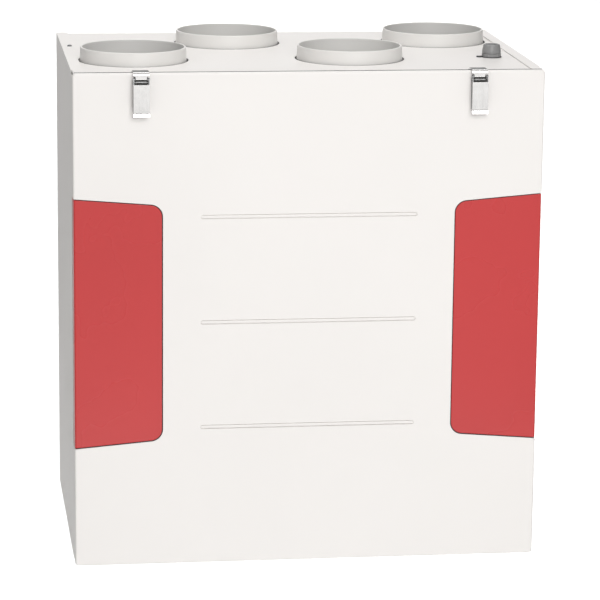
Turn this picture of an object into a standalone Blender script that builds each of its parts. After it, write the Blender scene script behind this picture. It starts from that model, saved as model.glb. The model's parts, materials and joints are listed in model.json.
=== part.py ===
"""Wall-hung heat recovery unit with four duct spigots on top.

Metres, +Z up. The unit hangs on a wall whose surface is the plane Y = 0, and its front faces -Y.
The origin is on the wall, in the middle of the wall rail.
"""

from math import cos, pi, radians, sin

import bmesh
import bpy
from mathutils import Matrix, Vector

# ---------------------------------------------------------------- driving dimensions

WIDTH = 0.680
HEIGHT = 0.725
DEPTH = 0.460
WALL_GAP = 0.018
TOP = 0.125
SHEET = 0.0015
FIT = 0.0003

BACK = -WALL_GAP
FRONT = BACK - DEPTH
BOTTOM = TOP - HEIGHT
HALF = WIDTH / 2
INSIDE = HALF - SHEET

# Cover: a shallow pan, deep at the sides and the bottom and short along the top edge.
RIM = 0.040
TOP_RIM = 0.010
RIM_END = FRONT + RIM
TOP_RIM_END = FRONT + TOP_RIM
CORNER_RADIUS = 0.004

# Top plate, let in under the folded-over edges of the side panels.
FLANGE_WIDTH = 0.017
PLATE_TOP = TOP - SHEET - FIT
PLATE_BOTTOM = PLATE_TOP - SHEET

# Duct spigots for 160 mm pipe.
SPIGOT_RISE = 0.018
SPIGOT_DROP = 0.0215
SPIGOT_RIM_RADIUS = 0.0765
SPIGOT_BASE_RADIUS = 0.0785
SPIGOT_WALL = 0.0025
SPIGOTS = {
    "front_left": (-0.2425, FRONT + 0.155),
    "back_left": (-0.0855, FRONT + 0.340),
    "front_right": (0.0775, FRONT + 0.155),
    "back_right": (0.2345, FRONT + 0.340),
}
PLATE_HOLE_RADIUS = 0.0810

GLAND = (0.291, FRONT + 0.155)
GLAND_HOLE_RADIUS = 0.0103

# Foam lining and the partitions between the air paths.
FOAM = 0.025
FOAM_SIDE = INSIDE - 0.0015
FOAM_FRONT = FRONT + 0.026
FOAM_BACK = BACK - SHEET - 2 * FIT
FOAM_INNER_BACK = FOAM_BACK - FOAM
FOAM_TOP = PLATE_BOTTOM - 0.0035
FOAM_TOP_BOTTOM = 0.090
FOAM_FLOOR = -0.560
CORE_X = -0.004
DUCT_WALL = 0.008
DUCT_WALL_REACH = 0.156
LEFT_WALL_X = CORE_X - DUCT_WALL_REACH
RIGHT_WALL_X = CORE_X + DUCT_WALL_REACH

# Hexagonal counterflow exchanger, its long axis along Y.
CORE_Z = -0.200
CORE_HALF_WIDTH = 0.150
CORE_HALF_HEIGHT = 0.200
CORE_BACK = -0.115

FILTER_BOTTOM = 0.020
FILTER_THICKNESS = 0.035
FILTER_GAP = 0.0025

# Fans, with their axes along X, blowing into the two side channels.
FAN_Y = -0.250
FAN_Z = -0.445
IMPELLER_RADIUS = 0.095
IMPELLER_DEPTH = 0.064
INLET_RADIUS = 0.055
BLADES = 7

# Bypass channel behind the exchanger.
BYPASS_Y = -0.110
FLAP_Y = -0.0762
FLAP_Z = -0.020
FLAP_SHAFT_RADIUS = 0.004

DRAIN = (-0.080, -0.250)
DRAIN_END = BOTTOM - 0.030

# Toggle latches on the cover.
LATCH_X = 0.243
LATCH_PIVOT = (FRONT - 0.0070, TOP - 0.0077)
CLAW_PIVOT = (FRONT - 0.0045, TOP - 0.0125)
LEVER_HALF = 0.0115
LEVER_SHEET = 0.0012
LEVER_TIP = 0.0026
LEVER_TOP = TOP - 0.0150

# Accent panels: trapezoids, taller at the outer edge of the cover.
ACCENT_WIDTH = 0.127
ACCENT_MIDDLE = TOP - 0.364
ACCENT_OUTER_HALF = 0.183
ACCENT_INNER_HALF = 0.1725
ACCENT_CORNER = 0.012
ACCENT_GAP = 0.0006
ACCENT_WRAP = 0.034

BEAD_LENGTH = 0.314
BEAD_WIDTH = 0.0055
BEAD_DEPTH = 0.0008
BEADS = (TOP - 0.208, TOP - 0.363, TOP - 0.519)

# Colour, roughness and metallic value of each material.
FINISHES = {
    "powder_coat": ((0.86, 0.85, 0.83), 0.40, 0.0),
    "accent_red": ((0.60, 0.07, 0.07), 0.30, 0.0),
    "bright_steel": ((0.80, 0.79, 0.77), 0.18, 1.0),
    "zinc_steel": ((0.62, 0.63, 0.64), 0.38, 1.0),
    "spigot_plastic": ((0.80, 0.79, 0.76), 0.45, 0.0),
    "grey_plastic": ((0.30, 0.30, 0.30), 0.45, 0.0),
    "black_rubber": ((0.03, 0.03, 0.03), 0.70, 0.0),
    "lining_foam": ((0.10, 0.10, 0.11), 0.90, 0.0),
    "core_plastic": ((0.72, 0.76, 0.80), 0.35, 0.0),
    "filter_media": ((0.88, 0.88, 0.85), 0.95, 0.0),
    "fan_plastic": ((0.07, 0.07, 0.08), 0.50, 0.0),
    "circuit_board": ((0.03, 0.22, 0.10), 0.45, 0.0),
    "tray_plastic": ((0.14, 0.14, 0.15), 0.40, 0.0),
    "webbing": ((0.05, 0.05, 0.06), 0.85, 0.0),
}

# ---------------------------------------------------------------- modelling helpers


def clear_scene():
    for item in list(bpy.data.objects):
        bpy.data.objects.remove(item, do_unlink=True)


def material(slot):
    """Return the Principled material of a slot, making it the first time."""
    found = bpy.data.materials.get(slot)
    if found:
        return found
    colour, roughness, metallic = FINISHES[slot]
    made = bpy.data.materials.new(slot)
    made.use_nodes = True
    shader = made.node_tree.nodes["Principled BSDF"]
    shader.inputs["Base Color"].default_value = (*colour, 1.0)
    shader.inputs["Roughness"].default_value = roughness
    shader.inputs["Metallic"].default_value = metallic
    return made


def finish_mesh(bm, name, slot, smooth=False):
    """Turn a bmesh into a named object with its faces pointing out."""
    bmesh.ops.recalc_face_normals(bm, faces=bm.faces)
    mesh = bpy.data.meshes.new(name)
    bm.to_mesh(mesh)
    bm.free()
    if smooth:
        mesh.shade_smooth()
        mesh.set_sharp_from_angle(angle=radians(35))
    item = bpy.data.objects.new(name, mesh)
    bpy.context.scene.collection.objects.link(item)
    if slot:
        mesh.materials.append(material(slot))
    return item


def box(name, slot, low, high):
    """A box between two corners."""
    bm = bmesh.new()
    size = Vector(high) - Vector(low)
    middle = (Vector(high) + Vector(low)) / 2
    placing = Matrix.Translation(middle) @ Matrix.Diagonal((*size, 1.0))
    bmesh.ops.create_cube(bm, size=1.0, matrix=placing)
    return finish_mesh(bm, name, slot)


def to_space(axis, a, b, along):
    """A point of an outline that is extruded along an axis: X takes (y, z), Y (x, z), Z (x, y)."""
    if axis == "X":
        return (along, a, b)
    if axis == "Y":
        return (a, along, b)
    return (a, b, along)


def prism(name, slot, axis, outline, low, high):
    """A closed outline extruded along an axis."""
    bm = bmesh.new()
    ring = [bm.verts.new(to_space(axis, a, b, low)) for a, b in outline]
    face = bm.faces.new(ring)
    grown = bmesh.ops.extrude_face_region(bm, geom=[face])
    moved = [v for v in grown["geom"] if isinstance(v, bmesh.types.BMVert)]
    bmesh.ops.translate(bm, verts=moved, vec=to_space(axis, 0, 0, high - low))
    return finish_mesh(bm, name, slot)


def turned(name, slot, axis, centre, profile, segments=36):
    """A profile of (radius, height) points turned about an axis through a centre.

    A profile that starts and ends on the axis makes a solid, and any other makes a ring.
    """
    bm = bmesh.new()
    on_axis = profile[0][0] == 0
    points = profile[1:-1] if on_axis else profile
    turns = []
    for step in range(segments):
        angle = 2 * pi * step / segments
        turns.append([
            bm.verts.new(Vector(centre) + Vector(
                to_space(axis, r * cos(angle), r * sin(angle), h)))
            for r, h in points])
    last = len(points) - 1 if on_axis else len(points)
    for step in range(segments):
        here = turns[step]
        there = turns[(step + 1) % segments]
        for i in range(last):
            j = (i + 1) % len(points)
            bm.faces.new((here[i], here[j], there[j], there[i]))
    if on_axis:
        bm.faces.new([turn[0] for turn in turns])
        bm.faces.new([turn[-1] for turn in turns])
    return finish_mesh(bm, name, slot, smooth=True)


def drum(name, slot, axis, centre, radius, low, high, segments=32):
    """A plain cylinder."""
    profile = [(0, low), (radius, low), (radius, high), (0, high)]
    return turned(name, slot, axis, centre, profile, segments)


def rounded(corners, radii, steps=5):
    """Round the corners of an outline. A radius of 0 keeps a corner sharp."""
    outline = []
    count = len(corners)
    for i, (corner, radius) in enumerate(zip(corners, radii)):
        here = Vector(corner)
        if radius == 0:
            outline.append(tuple(here))
            continue
        before = (Vector(corners[i - 1]) - here).normalized()
        after = (Vector(corners[(i + 1) % count]) - here).normalized()
        half_angle = before.angle(after) / 2
        reach = radius / sin(half_angle) * cos(half_angle)
        start = here + before * reach
        end = here + after * reach
        middle = here + (before + after).normalized() * (radius / sin(half_angle))
        first = start - middle
        sweep = first.angle_signed(end - middle)
        for step in range(steps + 1):
            turn = Matrix.Rotation(-sweep * step / steps, 2)
            outline.append(tuple(middle + turn @ first))
    return outline


def rectangle(a0, b0, a1, b1):
    return [(a0, b0), (a1, b0), (a1, b1), (a0, b1)]


def combine(target, tools, operation):
    """Join guide solids to an object, or cut them out of it."""
    for tool in tools:
        step = target.modifiers.new(tool.name, "BOOLEAN")
        step.operation = operation
        step.solver = "EXACT"
        step.object = tool
        tool.hide_render = True
        tool.display_type = "WIRE"
        tool.parent = GUIDES
    return target


def join(target, *tools):
    return combine(target, tools, "UNION")


def cut(target, *tools):
    return combine(target, tools, "DIFFERENCE")


# ---------------------------------------------------------------- casing and wall fixing


def make_side_panel(name, side):
    """A side sheet whose top edge folds over the top plate, a little longer than the sheet."""
    sheet = box(name, "powder_coat",
                (min(side * HALF, side * INSIDE), RIM_END + 0.0006, BOTTOM),
                (max(side * HALF, side * INSIDE), BACK, TOP))
    inner = side * (HALF - FLANGE_WIDTH)
    edge = side * (INSIDE - 0.0005)
    fold = box(name + "_fold", None,
               (min(inner, edge), TOP_RIM_END + 0.0006, TOP - SHEET),
               (max(inner, edge), BACK, TOP))
    root = box(name + "_fold_root", None,
               (min(inner, side * HALF), RIM_END + 0.0006, TOP - SHEET),
               (max(inner, side * HALF), BACK, TOP))
    return join(sheet, root, fold)


def make_casing():
    make_side_panel("left_side_panel", -1)
    make_side_panel("right_side_panel", 1)
    edge = INSIDE - FIT
    box("back_panel", "zinc_steel",
        (-edge, BACK - SHEET, BOTTOM + SHEET + FIT), (edge, BACK, PLATE_BOTTOM - FIT))
    floor = box("bottom_panel", "powder_coat",
                (-edge, RIM_END + 0.0006, BOTTOM), (edge, BACK, BOTTOM + SHEET))
    cut(floor, drum("bottom_drain_hole", None, "Z", (*DRAIN, BOTTOM), 0.0175, -0.01, 0.01))

    front_fold = TOP_RIM_END + 0.0006
    plate_outline = [
        (front_fold, PLATE_TOP - 0.012), (front_fold + SHEET, PLATE_TOP - 0.012),
        (front_fold + SHEET, PLATE_BOTTOM), (BACK, PLATE_BOTTOM),
        (BACK, PLATE_TOP), (front_fold, PLATE_TOP)]
    plate = prism("top_plate", "powder_coat", "X", plate_outline, -edge, edge)
    holes = [drum("plate_hole_" + key, None, "Z", (*place, PLATE_TOP), PLATE_HOLE_RADIUS,
                  -0.01, 0.01, 40)
             for key, place in SPIGOTS.items()]
    holes.append(drum("plate_hole_gland", None, "Z", (*GLAND, PLATE_TOP),
                      GLAND_HOLE_RADIUS, -0.01, 0.01, 24))
    cut(plate, *holes)


def make_wall_fixing():
    rail = [(0, -0.030), (0, 0.016), (-0.008, 0.016), (-0.008, 0.034), (-0.010, 0.034),
            (-0.010, 0.014), (-0.002, 0.014), (-0.002, -0.030)]
    prism("wall_rail", "zinc_steel", "X", rail, -0.270, 0.270)
    face = BACK + FIT
    bracket = [(face, 0.075), (face, 0.0343), (-0.007, 0.0343), (-0.007, 0.019),
               (-0.005, 0.019), (-0.005, 0.0363), (face + 0.002, 0.0363), (face + 0.002, 0.075)]
    prism("hanging_bracket", "zinc_steel", "X", bracket, -0.290, 0.290)
    for name, x in (("spacer_left", -0.270), ("spacer_right", 0.270)):
        turned(name, "black_rubber", "Y", (x, 0, -0.520),
               [(0, BACK + FIT), (0.016, BACK + FIT), (0.015, -0.002), (0.013, 0), (0, 0)], 24)


def make_spigots():
    """Each spigot has a collar under the top plate and a rubber ring where it passes through."""
    for key, (x, y) in SPIGOTS.items():
        rim = TOP + SPIGOT_RISE
        foot = PLATE_BOTTOM - SPIGOT_DROP
        bore = SPIGOT_RIM_RADIUS - SPIGOT_WALL
        collar_top = PLATE_BOTTOM - FIT
        turned("spigot_" + key, "spigot_plastic", "Z", (x, y, 0), [
            (bore, foot), (SPIGOT_BASE_RADIUS, foot),
            (SPIGOT_BASE_RADIUS, collar_top - 0.0025), (0.0860, collar_top - 0.0025),
            (0.0860, collar_top), (SPIGOT_BASE_RADIUS, collar_top),
            (SPIGOT_RIM_RADIUS, rim - 0.0010), (SPIGOT_RIM_RADIUS - 0.0010, rim),
            (bore + 0.0004, rim)])
        turned("spigot_seal_" + key, "black_rubber", "Z", (x, y, 0), [
            (SPIGOT_BASE_RADIUS + FIT, PLATE_BOTTOM), (PLATE_HOLE_RADIUS - FIT, PLATE_BOTTOM),
            (PLATE_HOLE_RADIUS - FIT, PLATE_TOP), (SPIGOT_BASE_RADIUS + FIT, PLATE_TOP)])


def make_cable_gland():
    """Hollow gland body through the top plate, and the domed cap that clamps the cable."""
    place = (*GLAND, PLATE_TOP)
    turned("cable_gland_body", "grey_plastic", "Z", place, [
        (0.0060, -0.016), (0.0100, -0.016), (0.0100, FIT), (0.0145, FIT), (0.0145, 0.0060),
        (0.0105, 0.0060), (0.0105, 0.0100), (0.0060, 0.0100)], 24)
    turned("cable_gland_cap", "grey_plastic", "Z", place, [
        (0.0109, 0.0063), (0.0140, 0.0063), (0.0137, 0.0120), (0.0120, 0.0175),
        (0.0090, 0.0195), (0.0060, 0.0195), (0.0060, 0.0104), (0.0109, 0.0104)], 24)


# ---------------------------------------------------------------- foam lining and partitions


def make_lining():
    box("foam_back", "lining_foam",
        (-FOAM_SIDE, FOAM_INNER_BACK, FOAM_FLOOR + FIT),
        (FOAM_SIDE, FOAM_BACK, FOAM_TOP_BOTTOM - FIT))
    for name, side in (("foam_left", -1), ("foam_right", 1)):
        xs = sorted((side * FOAM_SIDE, side * (FOAM_SIDE - FOAM)))
        box(name, "lining_foam",
            (xs[0], FOAM_FRONT, FOAM_FLOOR + FIT),
            (xs[1], FOAM_INNER_BACK - FIT, FOAM_TOP_BOTTOM - FIT))
    floor = box("foam_bottom", "lining_foam",
                (-FOAM_SIDE, FOAM_FRONT, BOTTOM + SHEET + FIT), (FOAM_SIDE, FOAM_BACK, FOAM_FLOOR))
    cut(floor, drum("foam_drain_hole", None, "Z", (*DRAIN, FOAM_FLOOR), 0.0175, -0.06, 0.02))

    ceiling = box("foam_top", "lining_foam",
                  (-FOAM_SIDE, FOAM_FRONT, FOAM_TOP_BOTTOM),
                  (FOAM_SIDE, FOAM_BACK, FOAM_TOP))
    divider = prism("plenum_divider", None, "Y", [
        (CORE_X - 0.006, FOAM_TOP_BOTTOM + 0.005), (CORE_X - 0.006, 0.0195),
        (CORE_X - 0.014, 0.0195), (CORE_X - 0.014, 0.0100), (CORE_X - 0.006, 0.0015),
        (CORE_X + 0.006, 0.0015), (CORE_X + 0.014, 0.0100), (CORE_X + 0.014, 0.0195),
        (CORE_X + 0.006, 0.0195), (CORE_X + 0.006, FOAM_TOP_BOTTOM + 0.005)],
        FOAM_FRONT, FOAM_INNER_BACK - FIT)
    join(ceiling, divider)
    bores = [drum("foam_bore_" + key, None, "Z", (*place, FOAM_TOP), SPIGOT_BASE_RADIUS + 0.0005,
                  -0.0265, 0.02, 32)
             for key, place in SPIGOTS.items()]
    throats = [drum("foam_throat_" + key, None, "Z", (*place, FOAM_TOP), 0.0740,
                    -0.06, 0.01, 32)
               for key, place in SPIGOTS.items()]
    gland_well = drum("foam_gland_well", None, "Z", (*GLAND, FOAM_TOP), 0.0155, -0.06, 0.02, 24)
    cut(ceiling, *bores, *throats, gland_well)


def make_duct_wall(name, x, side):
    """A partition with a ledge under the filter, one under the exchanger and a fan inlet hole."""
    outer = x + side * DUCT_WALL
    filter_ledge = FILTER_BOTTOM - 0.0005
    core_side = CORE_X + side * CORE_HALF_WIDTH
    core_corner = CORE_Z - 0.050
    drop = abs(x - core_side) - 0.0007
    wall = prism(name, "lining_foam", "Y", [
        (outer, FOAM_TOP_BOTTOM - FIT), (x, FOAM_TOP_BOTTOM - FIT),
        (x, filter_ledge), (x - side * 0.008, filter_ledge),
        (x - side * 0.008, 0.0120), (x, 0.0040),
        (x, core_corner + drop), (x - side * 0.012, core_corner + drop - 0.012),
        (x - side * 0.012, core_corner - 0.016), (x, core_corner - 0.026),
        (x, FOAM_FLOOR + FIT), (outer, FOAM_FLOOR + FIT)],
        FOAM_FRONT, FOAM_INNER_BACK - FIT)
    hole = drum(name + "_inlet", None, "X", (x, FAN_Y, FAN_Z), 0.0645, -0.03, 0.03, 24)
    return cut(wall, hole)


def make_partitions():
    left = make_duct_wall("duct_wall_left", LEFT_WALL_X, -1)
    make_duct_wall("duct_wall_right", RIGHT_WALL_X, 1)
    cut(left, drum("flap_shaft_hole", None, "X", (LEFT_WALL_X, FLAP_Y, FLAP_Z),
                   FLAP_SHAFT_RADIUS + 0.0006, -0.03, 0.01, 20))
    box("lower_web", "lining_foam",
        (CORE_X - 0.003, FOAM_FRONT, -0.5441),
        (CORE_X + 0.003, FOAM_INNER_BACK - FIT, CORE_Z - CORE_HALF_HEIGHT - 0.0055))

    low_x = LEFT_WALL_X + 0.0005
    high_x = RIGHT_WALL_X - 0.0005
    channel_back = FOAM_INNER_BACK - FIT
    sheet_low = CORE_Z - CORE_HALF_HEIGHT - 0.005
    wall = box("bypass_wall", "lining_foam",
               (low_x + 0.013, BYPASS_Y - 0.003, sheet_low),
               (high_x - 0.013, BYPASS_Y + 0.003, -0.010))
    upper = box("bypass_upper_shelf", None,
                (CORE_X + 0.006, BYPASS_Y - 0.003, -0.024), (high_x, channel_back, -0.018))
    lower = box("bypass_lower_shelf", None,
                (low_x, BYPASS_Y - 0.003, sheet_low), (CORE_X - 0.004, channel_back,
                                                       sheet_low + 0.006))
    fin = box("bypass_fin", None,
              (CORE_X - 0.005, BYPASS_Y - 0.003, -0.024), (CORE_X + 0.007, channel_back, 0.0010))
    join(wall, upper, lower, fin)


# ---------------------------------------------------------------- fans


def make_fan(tag, x, side):
    """Inlet ring in the duct wall, backward-curved impeller and its motor on the foam side."""
    axis_point = (x, FAN_Y, FAN_Z)

    def along(distance):
        return side * distance

    ring = [(INLET_RADIUS, along(-0.0015)), (0.0635, along(-0.0015)), (0.0635, along(0.0070)),
            (INLET_RADIUS + 0.0030, along(0.0160)), (INLET_RADIUS - 0.0025, along(0.0220)),
            (INLET_RADIUS - 0.0045, along(0.0220)), (INLET_RADIUS, along(0.0140))]
    turned("inlet_ring_" + tag, "fan_plastic", "X", axis_point, ring, 24)

    start = 0.0240
    back = start + IMPELLER_DEPTH
    shroud = [(INLET_RADIUS, along(start)), (0.0750, along(start + 0.006)),
              (IMPELLER_RADIUS, along(start + 0.014)), (IMPELLER_RADIUS, along(start + 0.017)),
              (0.0740, along(start + 0.009)), (INLET_RADIUS, along(start + 0.003))]
    impeller = turned("impeller_" + tag, "fan_plastic", "X", axis_point, shroud, 24)
    disc = turned("impeller_disc_" + tag, None, "X", axis_point, [
        (0.0068, along(back - 0.030)), (0.0300, along(back - 0.030)),
        (0.0450, along(back - 0.006)), (IMPELLER_RADIUS, along(back - 0.003)),
        (IMPELLER_RADIUS, along(back)), (0.0068, along(back))], 24)
    blades = []
    for number in range(BLADES):
        blade = make_blade(f"impeller_blade_{tag}_{number}", axis_point, side, start, back,
                           2 * pi * number / BLADES)
        blades.append(blade)
    join(impeller, disc, *blades)

    foot = abs(side * (FOAM_SIDE - FOAM) - x) - FIT
    motor = [(0, along(back - 0.024)), (0.0060, along(back - 0.024)), (0.0060, along(back + 0.004)),
             (0.0460, along(back + 0.004)), (0.0500, along(back + 0.008)),
             (0.0500, along(foot - 0.0045)), (0.0620, along(foot - 0.0045)), (0.0620, along(foot)),
             (0, along(foot))]
    turned("fan_motor_" + tag, "zinc_steel", "X", axis_point, motor, 24)


def make_blade(name, axis_point, side, start, back, turn):
    """One backward-curved blade: an arc from the eye to the rim, between shroud and disc."""
    inner = []
    outer = []
    steps = 4
    thickness = 0.0020
    for step in range(steps + 1):
        part = step / steps
        radius = 0.0500 + (IMPELLER_RADIUS - 0.0010 - 0.0500) * part
        angle = turn + side * 0.75 * part
        centre = Vector((radius * cos(angle), radius * sin(angle)))
        across = Vector((-sin(angle + side * 0.6), cos(angle + side * 0.6))) * thickness / 2
        inner.append(centre + across)
        outer.append(centre - across)
    outline = [(axis_point[1] + p.x, axis_point[2] + p.y) for p in inner + outer[::-1]]
    reach = sorted((axis_point[0] + side * (start + 0.0125), axis_point[0] + side * (back - 0.002)))
    return prism(name, None, "X", outline, *reach)


# ---------------------------------------------------------------- exchanger, filters, bypass flap


def make_exchanger():
    outline = [
        (CORE_X, CORE_Z + CORE_HALF_HEIGHT),
        (CORE_X - CORE_HALF_WIDTH, CORE_Z + 0.050), (CORE_X - CORE_HALF_WIDTH, CORE_Z - 0.050),
        (CORE_X, CORE_Z - CORE_HALF_HEIGHT),
        (CORE_X + CORE_HALF_WIDTH, CORE_Z - 0.050), (CORE_X + CORE_HALF_WIDTH, CORE_Z + 0.050)]
    core = prism("heat_exchanger", "core_plastic", "Y", outline, FOAM_FRONT, CORE_BACK)
    well = box("strap_well", None,
               (CORE_X - 0.064, FOAM_FRONT - 0.01, CORE_Z - 0.016),
               (CORE_X + 0.064, FOAM_FRONT + 0.012, CORE_Z + 0.016))
    cut(core, well)
    strap_front = FOAM_FRONT + 0.0010
    strap_back = FOAM_FRONT + 0.0117
    strap = prism("exchanger_strap", "webbing", "Z", [
        (CORE_X - 0.060, strap_back), (CORE_X - 0.060, strap_back - 0.002),
        (CORE_X - 0.046, strap_back - 0.002), (CORE_X - 0.036, strap_front),
        (CORE_X + 0.036, strap_front), (CORE_X + 0.046, strap_back - 0.002),
        (CORE_X + 0.060, strap_back - 0.002), (CORE_X + 0.060, strap_back),
        (CORE_X + 0.044, strap_back), (CORE_X + 0.034, strap_front + 0.002),
        (CORE_X - 0.034, strap_front + 0.002), (CORE_X - 0.044, strap_back)],
        CORE_Z - 0.0125, CORE_Z + 0.0125)


def make_filters():
    """Flat cassettes that slide in above the exchanger, with a finger slot in the front."""
    spans = {
        "outdoor_filter": (LEFT_WALL_X + FILTER_GAP, CORE_X - 0.006 - FILTER_GAP),
        "extract_filter": (CORE_X + 0.006 + FILTER_GAP, RIGHT_WALL_X - FILTER_GAP)}
    for name, (low, high) in spans.items():
        cassette = box(name, "filter_media",
                       (low, FOAM_FRONT, FILTER_BOTTOM),
                       (high, FOAM_INNER_BACK - 0.004, FILTER_BOTTOM + FILTER_THICKNESS))
        middle = (low + high) / 2
        slot = box(name + "_slot", None,
                   (middle - 0.030, FOAM_FRONT - 0.01, FILTER_BOTTOM + 0.010),
                   (middle + 0.030, FOAM_FRONT + 0.014, FILTER_BOTTOM + 0.025))
        cut(cassette, slot)


def make_bypass_flap():
    half = 0.0290
    flap = box("bypass_flap", "grey_plastic",
               (LEFT_WALL_X + 0.003, FLAP_Y - half, FLAP_Z - 0.0015),
               (CORE_X - 0.0065, FLAP_Y + half, FLAP_Z + 0.0015))
    shaft = drum("flap_shaft", None, "X", (LEFT_WALL_X, FLAP_Y, FLAP_Z), FLAP_SHAFT_RADIUS,
                 -DUCT_WALL + 0.0005, 0.1445, 16)
    join(flap, shaft)
    outside = LEFT_WALL_X - DUCT_WALL - FIT
    box("bypass_actuator", "grey_plastic",
        (outside - 0.032, FLAP_Y - 0.026, FLAP_Z - 0.030), (outside, FLAP_Y + 0.026, FLAP_Z + 0.034))


# ---------------------------------------------------------------- condensate and controls


def make_condensate_parts():
    low = (LEFT_WALL_X + 0.0010, FOAM_FRONT + 0.0005, FOAM_FLOOR + FIT)
    high = (RIGHT_WALL_X - 0.0010, FOAM_INNER_BACK - 0.0010, -0.5446)
    tray = box("condensate_tray", "tray_plastic", low, high)
    hollow = []
    for tag, x0, x1 in (("left", low[0] + 0.003, CORE_X - 0.006),
                        ("right", CORE_X + 0.006, high[0] - 0.003)):
        hollow.append(box("tray_hollow_" + tag, None,
                          (x0, low[1] + 0.003, low[2] + 0.003), (x1, high[1] - 0.003, 0.0)))
    outlet = drum("tray_outlet", None, "Z", (*DRAIN, FOAM_FLOOR), 0.0120, -0.02, 0.02, 24)
    cut(tray, *hollow, outlet)
    turned("drain_spigot", "grey_plastic", "Z", (*DRAIN, 0), [
        (0.0105, DRAIN_END), (0.0150, DRAIN_END), (0.0160, DRAIN_END + 0.002),
        (0.0160, FOAM_FLOOR), (0.0105, FOAM_FLOOR)], 24)


def make_controls():
    """Control box in the upper right channel, under the cable gland."""
    low = (RIGHT_WALL_X + DUCT_WALL + 0.0015, FOAM_FRONT + 0.0020, -0.100)
    high = (FOAM_SIDE - FOAM - 0.0007, -0.2750, FOAM_TOP_BOTTOM - 0.0010)
    wall = 0.002
    case = box("control_box", "grey_plastic", low, high)
    inside = box("control_box_inside", None,
                 (low[0] + wall, low[1] - 0.01, low[2] + wall),
                 (high[0] - wall, high[1] - wall, high[2] - wall))
    entry = drum("control_box_entry", None, "Z", (*GLAND, high[2]), 0.0110, -0.02, 0.02, 24)
    cut(case, inside, entry)
    box("control_cover", "grey_plastic",
        (low[0], FOAM_FRONT, low[2]), (high[0], low[1] - FIT, high[2]))

    board_back = high[1] - wall - 0.006
    board = box("control_board", "circuit_board",
                (low[0] + 0.008, board_back - 0.0016, low[2] + 0.010),
                (high[0] - 0.008, board_back, high[2] - 0.040))
    parts = {"terminal_row": ((0.014, 0.0, 0.120), (0.120, 0.016, 0.134)),
             "transformer": ((0.016, 0.0, 0.070), (0.056, 0.034, 0.104)),
             "capacitor_block": ((0.070, 0.0, 0.076), (0.094, 0.026, 0.100)),
             "relay_block": ((0.016, 0.0, 0.024), (0.046, 0.018, 0.050)),
             "connector_row": ((0.060, 0.0, 0.018), (0.118, 0.012, 0.028))}
    blocks = [box("board_" + key, None,
                  (low[0] + a[0], board_back - 0.001 - b[1], low[2] + a[2]),
                  (low[0] + b[0], board_back - 0.001, low[2] + b[2]))
              for key, (a, b) in parts.items()]
    studs = [drum(f"board_stud_{i}_{j}", None, "Y",
                  (low[0] + 0.016 + 0.118 * i, 0, low[2] + 0.014 + 0.128 * j), 0.003,
                  board_back - 0.001, high[1] - wall - FIT, 10)
             for i in (0, 1) for j in (0, 1)]
    join(board, *blocks, *studs)


# ---------------------------------------------------------------- front cover


def accent_outline(side, grow=0.0):
    """Trapezoid of an accent panel in (x, z), running out past the cover's edge."""
    inner = side * (HALF - ACCENT_WIDTH - grow)
    slope = (ACCENT_OUTER_HALF - ACCENT_INNER_HALF) / ACCENT_WIDTH
    outer = side * (HALF + 0.010)
    outer_half = ACCENT_OUTER_HALF + slope * 0.010 + grow
    inner_half = ACCENT_INNER_HALF - slope * grow + grow
    corners = [(outer, ACCENT_MIDDLE + outer_half), (inner, ACCENT_MIDDLE + inner_half),
               (inner, ACCENT_MIDDLE - inner_half), (outer, ACCENT_MIDDLE - outer_half)]
    radius = ACCENT_CORNER + grow
    return rounded(corners, (0, radius, radius, 0))


def make_front_cover():
    """Shallow sheet pan with pressed beads, cut away where the accent panels sit."""
    outline = rounded(rectangle(-HALF, BOTTOM, HALF, TOP), [CORNER_RADIUS] * 4, 3)
    cover = prism("front_cover", "powder_coat", "Y", outline, FRONT, RIM_END)
    inner = rounded(rectangle(-INSIDE, BOTTOM + SHEET, INSIDE, TOP - SHEET),
                    [CORNER_RADIUS - SHEET] * 4, 3)
    hollow = prism("cover_hollow", None, "Y", inner, FRONT + SHEET, RIM_END + 0.01)
    short_top = box("cover_top_notch", None,
                    (-HALF - 0.01, TOP_RIM_END, TOP - 0.0055), (HALF + 0.01, RIM_END + 0.01,
                                                               TOP + 0.01))
    beads = []
    for number, z in enumerate(BEADS):
        half = BEAD_LENGTH / 2
        ends = rounded(rectangle(-half, z - BEAD_WIDTH / 2, half, z + BEAD_WIDTH / 2),
                       [BEAD_WIDTH / 2 - 0.0001] * 4, 4)
        beads.append(prism(f"cover_bead_{number}", None, "Y", ends, FRONT - 0.01,
                           FRONT + BEAD_DEPTH))
    windows = [prism(f"accent_window_{tag}", None, "Y", accent_outline(side, ACCENT_GAP),
                     FRONT - 0.01, FRONT + ACCENT_WRAP + ACCENT_GAP)
               for tag, side in (("left", -1), ("right", 1))]
    return cut(cover, hollow, short_top, *beads, *windows)


def make_accent_panel(name, side):
    """Panel that fills its window in the cover's face and wraps round onto the rim."""
    sunk = 0.0006
    thickness = 0.0020
    solid = prism(name, "accent_red", "Y", accent_outline(side), FRONT + sunk,
                  FRONT + ACCENT_WRAP)
    limit = side * (HALF - sunk)
    trim = sorted((limit, side * (HALF + 0.05)))
    outside = box(name + "_trim", None, (trim[0], FRONT - 0.05, BOTTOM), (trim[1], RIM_END + 0.05,
                                                                         TOP))
    core = sorted((side * (HALF - sunk - thickness), side * (HALF - ACCENT_WIDTH - 0.05)))
    inside = box(name + "_core", None,
                 (core[0], FRONT + sunk + thickness, BOTTOM), (core[1], RIM_END + 0.05, TOP))
    return cut(solid, outside, inside)


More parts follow.
